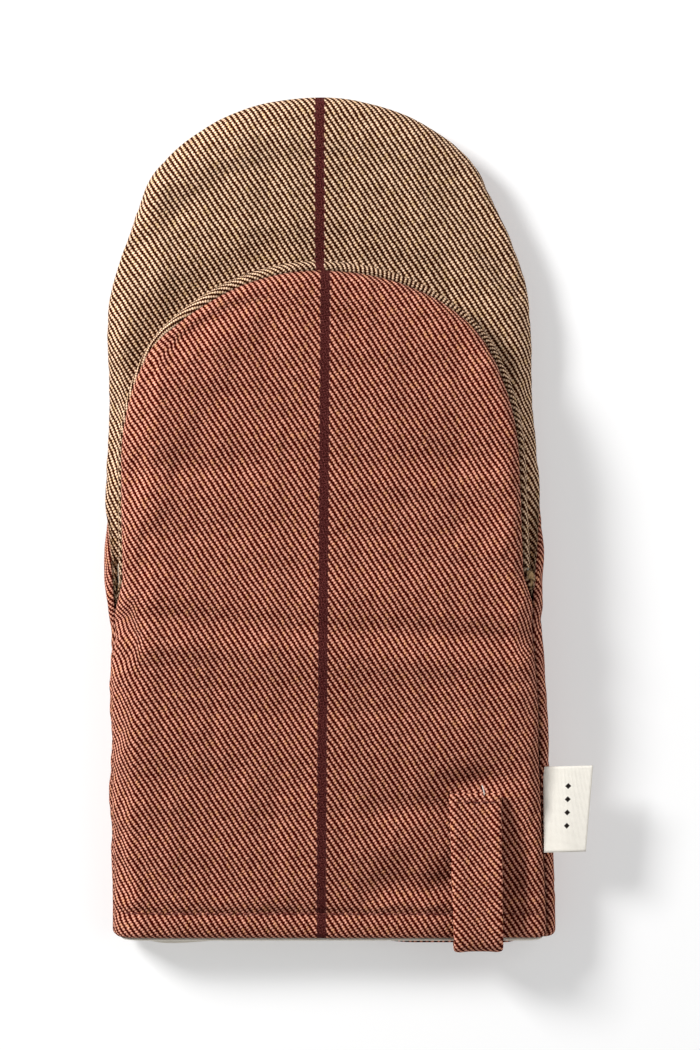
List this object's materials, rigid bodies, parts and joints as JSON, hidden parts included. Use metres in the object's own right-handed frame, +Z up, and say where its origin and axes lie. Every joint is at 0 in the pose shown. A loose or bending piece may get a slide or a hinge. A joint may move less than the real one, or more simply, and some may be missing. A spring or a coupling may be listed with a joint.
{
  "type": "oven mitt",
  "caption": "Flat pinch-type oven mitt in two-tone twill with a finger pocket, a shorter thumb pocket, an open cuff, a hanging strap and a side label.",
  "frame": {"origin": "middle of the back's hem line, on the face that the mitt lies on", "axes": "+X to the mitt's right side, where the label and the strap are; +Y from the hem to the fingertips; +Z up, out of the palm side"},
  "size_m": [0.1837, 0.3261, 0.0337],
  "materials": {
    "rust_twill": "coarse cotton twill, rust red and sand yarns, matt",
    "brown_twill": "coarse cotton twill, sand and dark brown yarns, matt",
    "lining_cotton": "plain-woven undyed cotton, matt",
    "wadding": "needled cotton wadding, hidden inside the walls",
    "label_tape": "woven cotton tape, cream, matt",
    "thread": "sewing thread, matt"
  },
  "bodies": {
    "cuff": {"cuff_back_cloth": "rust_twill", "cuff_back_wadding": "wadding", "cuff_back_lining": "lining_cotton", "cuff_front_cloth": "rust_twill", "cuff_front_wadding": "wadding", "cuff_front_lining": "lining_cotton", "hanging_strap": "rust_twill", "strap_stitching": "thread", "hem_stitching": "thread"},
    "fingers": {"palm_back_cloth": "rust_twill", "palm_back_wadding": "wadding", "palm_back_lining": "lining_cotton", "palm_front_cloth": "rust_twill", "palm_front_wadding": "wadding", "palm_front_lining": "lining_cotton", "finger_back_cloth": "rust_twill", "finger_back_wadding": "wadding", "finger_back_lining": "lining_cotton", "finger_front_cloth": "brown_twill", "finger_front_wadding": "wadding", "finger_front_lining": "lining_cotton"},
    "thumb": {"thumb_back_cloth": "brown_twill", "thumb_back_wadding": "wadding", "thumb_back_lining": "lining_cotton", "thumb_front_cloth": "rust_twill", "thumb_front_wadding": "wadding", "thumb_front_lining": "lining_cotton"},
    "label": {"side_label": "label_tape"}
  },
  "joints": [
    {"name": "palm_fold", "type": "hinge", "parent": "cuff", "child": "fingers", "pos_m": [0, 0.115, 0.015], "axis": [1, 0, 0], "range_deg": [0, 45]},
    {"name": "thumb_open", "type": "hinge", "parent": "fingers", "child": "thumb", "pos_m": [0, 0.134, 0.0335], "axis": [1, 0, 0], "range_deg": [0, 60]},
    {"name": "label_flap", "type": "hinge", "parent": "cuff", "child": "label", "pos_m": [0.0818, 0.05, 0.0224], "axis": [0, -1, 0], "range_deg": [-35, 80], "stiffness_Nm_per_rad": 0.002}
  ]
}
